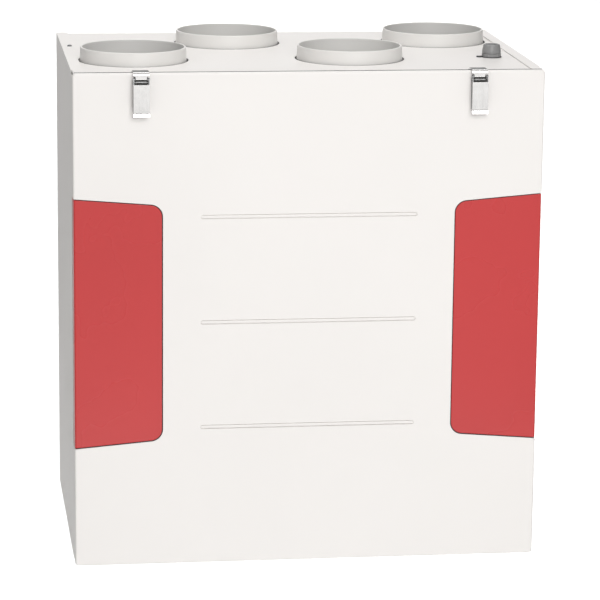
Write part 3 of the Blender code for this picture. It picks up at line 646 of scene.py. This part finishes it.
def make_cover():
    """Bent sheet pan with rounded edges, pressed beads and the two accent windows."""
    bm = bmesh.new()
    corner = 0.0045
    bend = [(BEND * (1 - cos(radians(a))), FRONT + BEND * (1 - sin(radians(a))))
            for a in range(0, 91, 15)]
    outer = [pan_loop(bm, 0, RIM_END, corner)]
    outer += [pan_loop(bm, inset, y, corner) for inset, y in bend]
    tight = BEND - SHEET
    fold = [(SHEET + tight * (1 - cos(radians(a))), FRONT + SHEET + tight * (1 - sin(radians(a))))
            for a in range(0, 91, 30)]
    inner = [pan_loop(bm, SHEET, RIM_END, corner)]
    inner += [pan_loop(bm, inset, y, corner) for inset, y in fold]
    for loops in (outer, inner):
        for first, second in zip(loops, loops[1:]):
            bridge(bm, first, second)
        bm.faces.new(loops[-1])
    bridge(bm, outer[0], inner[0])
    cover = add_object(bm, "cover_shell", "powder_coat")

    tools = [box("top_notch", None, (-HALF - 0.01, FRONT + 0.0082, TOP - 0.0055),
                 (HALF + 0.01, RIM_END + 0.01, TOP + 0.01))]
    for tag, side in (("left", -1), ("right", 1)):
        tools.append(prism("window_" + tag, None, "Y", accent_outline(side, WINDOW_GAP),
                           FRONT - 0.01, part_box("accent_left")[1].y + WINDOW_GAP))
    backs = []
    floors = []
    for drop in BEAD_DROPS:
        z = TOP - drop
        half = BEAD_WIDTH / 2
        capsule = arc((BEAD_HALF - half, z), half, 90, -90, 12)
        capsule += arc((half - BEAD_HALF, z), half, 270, 90, 12)
        tools.append(prism("bead_tool", None, "Y", capsule, FRONT - 0.01, FRONT + BEAD_DEPTH))
        half -= BEAD_CREASE
        inset = BEAD_HALF - BEAD_CREASE
        pad = arc((inset - half, z), half, 90, -90, 12) + arc((half - inset, z), half, 270, 90, 12)
        floors.append(prism("bead_floor", None, "Y", pad,
                            FRONT + BEAD_FLOOR, FRONT + BEAD_DEPTH + 0.0004))
        backs.append(box("bead_back", None, (-BEAD_HALF - 0.004, FRONT + 0.0008, z - 0.006),
                         (BEAD_HALF + 0.004, FRONT + BEAD_DEPTH + 0.0010, z + 0.006)))
    combine(cover, backs, "UNION")
    combine(cover, tools, "DIFFERENCE")
    combine(cover, floors, "UNION")
    soften(cover, 0.0003, 2, 38)
    attach(cover, "cover", ("front_cover",))


def make_accent(tag, side):
    """Panel with a bent edge, let into its window a little below the cover's face."""
    sunk = 0.0006
    thick = 0.0020
    edge = HALF - sunk
    face = FRONT + sunk
    radius = BEND - sunk
    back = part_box("accent_" + tag)[1].y
    bend_centre = (edge - radius, face + radius)
    section = [(edge - 0.20, face)]
    section += arc(bend_centre, radius, -90, 0, 8)
    section += [(edge, back), (edge - thick, back), (edge - thick, face + thick),
                (edge - 0.20, face + thick)]
    panel = prism("accent_panel_" + tag, "accent_red", "Z", [(side * x, y) for x, y in section],
                  BOTTOM, TOP)
    shape = prism("accent_shape", None, "Y", accent_outline(side), FRONT - 0.01, back + 0.01)
    combine(panel, [shape], "INTERSECT")
    soften(panel, 0.0006, 3, 50)
    attach(panel, "cover", ("accent_" + tag,))


# ---------------------------------------------------------------- top of the unit


def make_top_plate():
    """Sheet with a folded front edge, its holes, and a black strip behind the cover's rim that
    paints the shade of the gap there.
    """
    low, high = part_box("top_plate")
    bend = 0.0020
    outline = [(low.y, low.z)] + arc((low.y + bend, high.z - bend), bend, 180, 90, 5)
    outline += [(high.y, high.z), (high.y, high.z - SHEET), (low.y + SHEET, high.z - SHEET),
                (low.y + SHEET, low.z)]
    plate = prism("top_plate_sheet", "powder_coat", "X", outline, low.x, high.x)
    tools = []
    for key in SPIGOT_KEYS:
        ring_low, ring_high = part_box("spigot_seal_" + key)
        middle = (ring_low + ring_high) / 2
        radius = (ring_high.x - ring_low.x) / 2 + 0.0003
        tools.append(turned("hole", None, "Z", middle,
                            [(0, -0.02), (radius, -0.02), (radius, 0.02), (0, 0.02)], 128))
    tools.append(turned("hole", None, "Z", gland_centre(),
                        [(0, -0.02), (0.0103, -0.02), (0.0103, 0.02), (0, 0.02)], 48))
    combine(plate, tools, "DIFFERENCE")
    soften(plate, 0.0002, 1, 50)
    attach(plate, "casing", ("top_plate",))

    # painted shade: a black strip at the top plate's front edge, put there to paint the shade of
    # the gap between the plate and the cover's rim
    rim = low.y - 0.0005
    strip = prism("top_gap_shade_strip", "black_rubber", "X",
                  [(rim, low.z), (low.y - 0.0001, low.z), (low.y - 0.0001, PLATE_TOP + 0.0001),
                   (low.y + 0.0006, PLATE_TOP + 0.0001), (low.y + 0.0006, TOP + 0.0001),
                   (low.y + 0.0004, TOP + 0.0003), (rim, TOP + 0.0003)],
                  low.x + 0.001, high.x - 0.001)
    attach(strip, "casing", ())


def gland_centre():
    """The middle of the gland, at the height of the top plate."""
    low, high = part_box("cable_gland_body")
    return Vector(((low.x + high.x) / 2, (low.y + high.y) / 2, PLATE_TOP))


def make_spigots():
    """Slightly tapered duct collars with a rolled rim, each in a dark sealing ring."""
    base, lip, bore, flange = 0.0783, 0.0773, 0.0742, 0.0860
    collar = PLATE_TOP - SHEET - 0.0003
    for key in SPIGOT_KEYS:
        low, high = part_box("spigot_" + key)
        centre = Vector(((low.x + high.x) / 2, (low.y + high.y) / 2, 0))
        rim = high.z
        foot = low.z
        round_rim = arc((lip - 0.0010, rim - 0.0010), 0.0010, 0, 90, 4)
        round_rim += arc((bore + 0.0008, rim - 0.0006), 0.0006, 90, 180, 3)
        profile = [(bore, foot), (base, foot), (base, collar - 0.0025), (flange, collar - 0.0025),
                   (flange, collar), (base, collar), (base, PLATE_TOP + 0.0004),
                   (base - 0.0005, PLATE_TOP + 0.0040), *round_rim,
                   (bore + 0.0002, rim - 0.0030)]
        tube = turned("duct_spigot_" + key, "spigot_plastic", "Z", centre, profile, 128)
        attach(tube, "casing", ("spigot_" + key,))

        ring_low, ring_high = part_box("spigot_seal_" + key)
        outer = (ring_high.x - ring_low.x) / 2
        inner = base + 0.0003
        bulge = (outer - inner) / 2
        lip_ring = [(inner, ring_low.z), (outer, ring_low.z), (outer, ring_high.z - bulge * 0.4)]
        lip_ring += arc(((inner + outer) / 2, ring_high.z - bulge), bulge, 0, 180, 6)[1:]
        seal = turned("spigot_ring_" + key, "black_rubber", "Z", centre, lip_ring, 128)
        attach(seal, "casing", ("spigot_seal_" + key,))


def make_gland():
    """Threaded body with a hexagon, a fluted cap with a rubber insert, and a tabbed washer."""
    centre = gland_centre()
    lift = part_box("cable_gland_body")[0].z - PLATE_TOP
    hexagon_radius = 0.0145
    flute_circle = 0.0147
    flute_count = 12
    profile = [(0.0062, lift), (0.0100, lift), (0.0100, 0.0003), (0.0132, 0.0003),
               (0.0138, 0.0008), (0.0138, 0.0056), (0.0132, 0.0061), (0.0106, 0.0061),
               (0.0106, 0.0100), (0.0062, 0.0100)]
    body = turned("gland_body", "grey_plastic", "Z", centre, profile, 64)
    hexagon = prism("gland_hexagon", "grey_plastic", "Z",
                    [(centre.x + hexagon_radius * cos(pi * k / 3),
                      centre.y + hexagon_radius * sin(pi * k / 3)) for k in range(6)],
                    PLATE_TOP + 0.0006, PLATE_TOP + 0.0054)
    combine(body, [hexagon], "UNION")
    soften(body, 0.0003, 2, 40)
    attach(body, "casing", ("cable_gland_body",))

    dome = [(0.0110, 0.0064), (0.0139, 0.0064), (0.0139, 0.0092), (0.0134, 0.0124),
            (0.0126, 0.0154)]
    dome += arc((0.0100, 0.0170), 0.0024, 10, 90, 5)
    dome += [(0.0090, 0.0191), (0.0084, 0.0180), (0.0082, 0.0106), (0.0110, 0.0106)]
    cap = turned("gland_cap", "grey_plastic", "Z", centre, dome, 96)
    flutes = []
    for k in range(flute_count):
        turn = 2 * pi * k / flute_count
        place = (centre.x + flute_circle * cos(turn), centre.y + flute_circle * sin(turn),
                 PLATE_TOP)
        flutes.append(turned("flute", None, "Z", place,
                             [(0, 0.0080), (0.0014, 0.0080), (0.0014, 0.0300), (0, 0.0300)], 12))
    combine(cap, flutes, "DIFFERENCE")
    soften(cap, 0.0002, 2, 40)
    attach(cap, "casing", ("cable_gland_cap",))
    insert = turned("gland_insert", "black_rubber", "Z", centre,
                    [(0.0038, 0.0104), (0.0081, 0.0104), (0.0081, 0.0168), (0.0060, 0.0172),
                     (0.0038, 0.0166)], 48)
    attach(insert, "casing", ())
    washer = turned("gland_washer", "black_rubber", "Z", centre,
                    [(0.0104, 0.0001), (0.0150, 0.0001), (0.0151, 0.0006), (0.0150, 0.0010),
                     (0.0104, 0.0010)], 64)
    tab_outer, tab_inner = centre.x - 0.0225, centre.x - 0.0110
    tab = prism("gland_washer_tab", None, "Z",
                rounded([(tab_outer, centre.y - 0.0040), (tab_inner, centre.y - 0.0045),
                         (tab_inner, centre.y + 0.0035), (tab_outer, centre.y + 0.0020)],
                        (0.0015, 0, 0, 0.0015)), PLATE_TOP + 0.0002, PLATE_TOP + 0.0018)
    combine(washer, [tab], "UNION")
    attach(washer, "casing", ())


# ---------------------------------------------------------------- screws and rivets


def screw_mesh():
    """Pan head with a cross recess, about its own origin, its head towards +Z."""
    head = turned("screw_pattern", "dark_screw", "Z", (0, 0, 0),
                  [(0, -0.0060), (0.0018, -0.0060), (0.0018, -0.0001), (0.0036, -0.0001)]
                  + arc((0.0014, -0.0001), 0.0022, 0, 80, 5)[1:] + [(0, 0.0022)], 28)
    bars = [box("cross", None, (-a, -b, 0.0008), (a, b, 0.0050))
            for a, b in ((0.0017, 0.00035), (0.00035, 0.0017))]
    combine(head, bars, "DIFFERENCE")
    mesh = head.data
    bpy.data.objects.remove(head, do_unlink=True)
    return mesh


def place_screws(mesh, name, body, places, facing):
    """One screw at each place, its head facing the given way."""
    turn = Vector((0, 0, 1)).rotation_difference(Vector(facing)).to_matrix().to_4x4()
    for number, place in enumerate(places):
        item = bpy.data.objects.new(f"{name}_{number}", mesh)
        bpy.context.scene.collection.objects.link(item)
        item.matrix_world = Matrix.Translation(place) @ turn
        attach(item, body, ())


def make_screws():
    mesh = screw_mesh()
    flange_x = HALF - 0.0120
    place_screws(mesh, "flange_screw", "casing", [(-flange_x, FRONT + 0.296, TOP)], (0, 0, 1))
    bracket_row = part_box("hanging_bracket")[1].z - 0.012
    place_screws(mesh, "bracket_screw", "casing",
                 [(x, BACK + 0.0023, bracket_row)
                  for x in (-0.26, -0.16, -0.05, 0.05, 0.16, 0.26)], (0, 1, 0))
    place_screws(mesh, "back_screw", "casing",
                 [(s * flange_x, BACK, z) for s in (-1, 1)
                  for z in (TOP - 0.03, TOP - 0.25, TOP - 0.48, BOTTOM + 0.03)], (0, 1, 0))
    place_screws(mesh, "floor_screw", "casing",
                 [(s * (HALF - 0.030), y, BOTTOM) for s in (-1, 1)
                  for y in (RIM_END + 0.03, -0.25, BACK - 0.03)], (0, 0, -1))
    control_low, control_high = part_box("control_cover")
    place_screws(mesh, "control_screw", "casing",
                 [(x, control_low.y, z) for x in (control_low.x + 0.010, control_high.x - 0.010)
                  for z in (control_low.z + 0.010, control_high.z - 0.010)], (0, -1, 0))


# ---------------------------------------------------------------- latches


def make_latch(tag):
    """Toggle latch: a bent claw strip on its rivet, over the lever, base and catch."""
    pin_low, pin_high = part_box("claw_pin_" + tag)
    middle = (pin_low.x + pin_high.x) / 2
    claw_y = (pin_low.y + pin_high.y) / 2
    claw_z = (pin_low.z + pin_high.z) / 2
    over = TOP + 0.0011
    sheet = 0.0012
    half_width = 0.0114
    radius = 0.0035

    bend = (FRONT - 0.0015, over - radius)
    inner = [(FRONT - 0.0024, claw_z), (FRONT - 0.0024, TOP - 0.0107),
             (FRONT - 0.0030, TOP - 0.0094), (FRONT - 0.0044, TOP - 0.0080),
             (FRONT - 0.0050, TOP - 0.0070)]
    inner += arc(bend, radius, 180, 90, 6)
    tip = [(FRONT + 0.0170, over), (FRONT + 0.0185, over + 0.0006),
           (FRONT + 0.0170, over + sheet)]
    outer = arc(bend, radius + sheet, 90, 180, 8)
    outer += [(FRONT - 0.0062, TOP - 0.0076), (FRONT - 0.0056, TOP - 0.0088),
              (FRONT - 0.0042, TOP - 0.0102), (FRONT - 0.0036, TOP - 0.0114),
              (FRONT - 0.0036, claw_z)]
    claw = prism("claw_strip_" + tag, "bright_steel", "X", inner + tip + outer,
                 middle - half_width, middle + half_width)
    tools = []
    for side in (-1, 1):
        edge = [(0.0073, TOP - 0.030), (0.0200, TOP - 0.030), (0.0200, TOP - 0.0036),
                (0.0116, TOP - 0.0036), (0.0100, TOP - 0.0038), (0.0086, TOP - 0.0042),
                (0.0080, TOP - 0.0050), (0.0078, TOP - 0.0070), (0.0073, TOP - 0.0090)]
        tools.append(prism("waist", None, "Y", [(middle + side * x, z) for x, z in edge],
                           FRONT - 0.03, FRONT + 0.001))
    combine(claw, tools, "DIFFERENCE")
    eye = turned("eye", None, "X", (middle, claw_y, claw_z),
                 [(0, -0.0073), (0.0026, -0.0073), (0.0026, 0.0073), (0, 0.0073)], 32)
    combine(claw, [eye], "UNION")
    bore = turned("bore", None, "X", (middle, claw_y, claw_z),
                  [(0, -0.02), (0.0016, -0.02), (0.0016, 0.02), (0, 0.02)], 24)
    combine(claw, [bore], "DIFFERENCE")
    soften(claw, 0.00025, 2, 35)
    # painted shade: the claw's recessed neck takes the dark steel as painted shade, and its upward
    # faces take it as a painted dark reflection
    painted_shade_faces(claw, "shaded_steel",
                  lambda face: face.normal.z > 0.8 or face.center.z < TOP - 0.0082)
    attach(claw, "claw_" + tag, ("latch_claw_" + tag,))

    # painted shade: the rivet takes the dark steel to paint the shade of the band it sits in
    pin = turned("claw_rivet_" + tag, "shaded_steel", "X", (middle, claw_y, claw_z),
                 [(0, -0.0121), (0.0018, -0.0120), (0.0021, -0.0117), (0.0013, -0.0116),
                  (0.0013, 0.0116), (0.0021, 0.0117), (0.0018, 0.0120), (0, 0.0121)], 24)
    attach(pin, "lever_" + tag, ("claw_pin_" + tag,))

    lever = refined("latch_lever_" + tag, 0.0004)
    # painted shade: the lever's cheeks and its top edge under the claw take the dark steel as
    # painted shade
    painted_shade_faces(lever, "shaded_steel",
                  lambda face: abs(face.normal.x) > 0.8 or face.center.z > TOP - 0.0148)
    # painted shade: the backing plate behind the lever takes the dark steel to paint the shade it
    # lies in
    refined("latch_base_" + tag, 0.00025, finish="shaded_steel", segments=2)
    refined("catch_" + tag, 0.0003, finish="dark_screw", segments=2)


# ---------------------------------------------------------------- inside


def make_exchanger():
    """A stack of thin hexagonal plates between two end frames, with an inner core and a strap."""
    low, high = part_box("heat_exchanger")
    centre_x = (low.x + high.x) / 2
    centre_z = (low.z + high.z) / 2
    half_width = (high.x - low.x) / 2
    half_height = (high.z - low.z) / 2

    def hexagon(shrink):
        wide = half_width - shrink
        tall = half_height - shrink * 1.4
        side = tall - wide
        return [(centre_x, centre_z + tall), (centre_x - wide, centre_z + side),
                (centre_x - wide, centre_z - side), (centre_x, centre_z - tall),
                (centre_x + wide, centre_z - side), (centre_x + wide, centre_z + side)]

    frame_depth = 0.014
    plate_pitch = 0.0044
    plate_thick = 0.0012
    front = prism("exchanger_front_frame", "core_plastic", "Y", hexagon(0),
                  low.y, low.y + frame_depth)
    strap_low, strap_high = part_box("exchanger_strap")
    well = box("well", None, (strap_low.x - 0.004, low.y - 0.01, strap_low.z - 0.0035),
               (strap_high.x + 0.004, low.y + 0.012, strap_high.z + 0.0035))
    recess = prism("recess", None, "Y", hexagon(0.012), low.y - 0.01, low.y + 0.0008)
    combine(front, [well, recess], "DIFFERENCE")
    soften(front, 0.0008, 2)
    attach(front, "exchanger", ("heat_exchanger",))
    rear = prism("exchanger_rear_frame", "core_plastic", "Y", hexagon(0), high.y - 0.008, high.y)
    soften(rear, 0.0008, 2)
    attach(rear, "exchanger", ())

    bm = bmesh.new()
    y = low.y + frame_depth + plate_thick
    while y < high.y - 0.010:
        face = bm.faces.new([bm.verts.new((x, y, z)) for x, z in hexagon(0.0020)])
        grown = bmesh.ops.extrude_face_region(bm, geom=[face])
        moved = [v for v in grown["geom"] if isinstance(v, bmesh.types.BMVert)]
        bmesh.ops.translate(bm, verts=moved, vec=(0, plate_thick, 0))
        y += plate_pitch
    plates = add_object(bm, "exchanger_plates", "core_plastic")
    attach(plates, "exchanger", ())
    spine = prism("exchanger_spine", "core_plastic", "Y", hexagon(0.006),
                  low.y + 0.013, high.y - 0.007)
    attach(spine, "exchanger", ())
    refined("exchanger_strap", 0.0006, segments=2)


def make_filter(node):
    """Card frame around pleated fleece, with a fabric pull tab at the front."""
    low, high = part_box(node)
    wall = 0.004
    middle = (low.x + high.x) / 2
    case = box(node + "_frame", "filter_card", low, high)
    hollow = box("hollow", None, (low.x + wall, low.y + 0.018, low.z - 0.01),
                 (high.x - wall, high.y - wall, high.z + 0.01))
    slot = box("slot", None, (middle - 0.030, low.y - 0.01, low.z + 0.010),
               (middle + 0.030, low.y + 0.014, low.z + 0.025))
    combine(case, [hollow, slot], "DIFFERENCE")
    soften(case, 0.0008, 2)
    attach(case, BODY_OF[node], (node,))

    bm = bmesh.new()
    start = low.y + 0.0185
    end = high.y - wall - 0.0005
    folds = 88
    upper = []
    lower = []
    for k in range(folds + 1):
        y = start + (end - start) * k / folds
        z = high.z - 0.0025 if k % 2 == 0 else low.z + 0.0035
        for rows, offset in ((upper, 0.0006), (lower, -0.0006)):
            rows.append([bm.verts.new((x, y, z + offset))
                         for x in (low.x + wall + 0.0003, high.x - wall - 0.0003)])
    for k in range(folds):
        bm.faces.new((upper[k][0], upper[k][1], upper[k + 1][1], upper[k + 1][0]))
        bm.faces.new((lower[k][0], lower[k + 1][0], lower[k + 1][1], lower[k][1]))
        for s in (0, 1):
            bm.faces.new((upper[k][s], upper[k + 1][s], lower[k + 1][s], lower[k][s]))
    for k in (0, folds):
        bm.faces.new((upper[k][0], lower[k][0], lower[k][1], upper[k][1]))
    pleats = add_object(bm, node + "_pleats", "filter_fleece", 20)
    attach(pleats, BODY_OF[node], ())

    tab = prism(node + "_tab", "webbing", "X", [
        (low.y + 0.0135, low.z + 0.0165), (low.y + 0.0010, low.z + 0.0150),
        (low.y + 0.0006, low.z + 0.0160), (low.y + 0.0010, low.z + 0.0172),
        (low.y + 0.0135, low.z + 0.0187)], middle - 0.012, middle + 0.012)
    soften(tab, 0.0003, 2)
    attach(tab, BODY_OF[node], ())


def make_fans():
    """Impellers, inlet rings and motors, with cooling fins round each motor."""
    fin_count = 18
    for tag in ("left", "right"):
        refined("impeller_" + tag, 0.0004, segments=2)
        refined("inlet_ring_" + tag, 0.0005, segments=2)
        refined("fan_motor_" + tag, 0.0012)
        low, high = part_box("fan_motor_" + tag)
        centre_y = (low.y + high.y) / 2
        centre_z = (low.z + high.z) / 2
        outward = -1 if tag == "left" else 1
        foot = low.x if tag == "left" else high.x
        near, far = sorted((foot - outward * 0.010, foot - outward * 0.040))
        for k in range(fin_count):
            turn = 2 * pi * k / fin_count
            fin = box(f"motor_fin_{tag}_{k}", "zinc_steel",
                      (near, -0.0010, 0.0495), (far, 0.0010, 0.0545))
            soften(fin, 0.0003, 2)
            fin.data.transform(Matrix.Translation((0, centre_y, centre_z))
                               @ Matrix.Rotation(turn, 4, "X"))
            attach(fin, "casing", ())


def make_board():
    """Loose components on the circuit board: chips and capacitors."""
    refined("control_board", 0.0003, segments=2)
    low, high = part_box("control_board")
    face = high.y - 0.0070 - 0.0016
    chips = [(0.080, 0.052, 0.016, 0.010), (0.106, 0.056, 0.010, 0.010),
             (0.100, 0.034, 0.012, 0.006)]
    for k, (x, z, wide, tall) in enumerate(chips):
        chip = box(f"board_chip_{k}", "board_part", (low.x + x, face - 0.0022, low.z + z),
                   (low.x + x + wide, face - 0.0001, low.z + z + tall))
        soften(chip, 0.0002, 2)
        attach(chip, "casing", ())
    for k, (x, z, radius) in enumerate(((0.118, 0.088, 0.006), (0.118, 0.072, 0.005),
                                        (0.056, 0.052, 0.005))):
        can = turned(f"board_capacitor_{k}", "zinc_steel", "Y", (low.x + x, 0, low.z + z),
                     [(0, face - 0.0001), (radius, face - 0.0001), (radius, face - 0.0140),
                      (radius - 0.0006, face - 0.0148), (0, face - 0.0148)], 32)
        attach(can, "casing", ())


def make_rest():
    """The plainer sheets, foam and fittings, with their edges rounded."""
    for node, width in (
            ("left_side_panel", 0.0005), ("right_side_panel", 0.0005), ("bottom_panel", 0.0004),
            ("back_panel", 0.0004), ("wall_rail", 0.0005), ("hanging_bracket", 0.0005),
            ("spacer_left", 0.0008), ("spacer_right", 0.0008), ("foam_back", 0.002),
            ("foam_left", 0.002), ("foam_right", 0.002), ("foam_top", 0.0012),
            ("foam_bottom", 0.002), ("duct_wall_left", 0.001), ("duct_wall_right", 0.001),
            ("lower_web", 0.001), ("bypass_wall", 0.001), ("condensate_tray", 0.0008),
            ("drain_spigot", 0.0006), ("bypass_actuator", 0.0015), ("bypass_flap", 0.0005),
            ("control_box", 0.0006), ("control_cover", 0.0006), ("cover_insulation", 0.003),
            ("cover_seal", 0.0005)):
        refined(node, width)


def make_floor():
    """A wide plain floor, far below the unit because the unit hangs on a wall."""
    bm = bmesh.new()
    bmesh.ops.create_grid(bm, x_segments=1, y_segments=1, size=FLOOR_REACH,
                          matrix=Matrix.Translation((0, 0, FLOOR_HEIGHT)))
    floor = add_object(bm, "floor", "pale_floor")


make_camera()
make_studio()
make_materials()
make_cover()
make_accent("left", -1)
make_accent("right", 1)
make_top_plate()
make_spigots()
make_gland()
make_screws()
make_latch("left")
make_latch("right")
make_exchanger()
make_filter("outdoor_filter")
make_filter("extract_filter")
make_fans()
make_board()
make_rest()
make_floor()
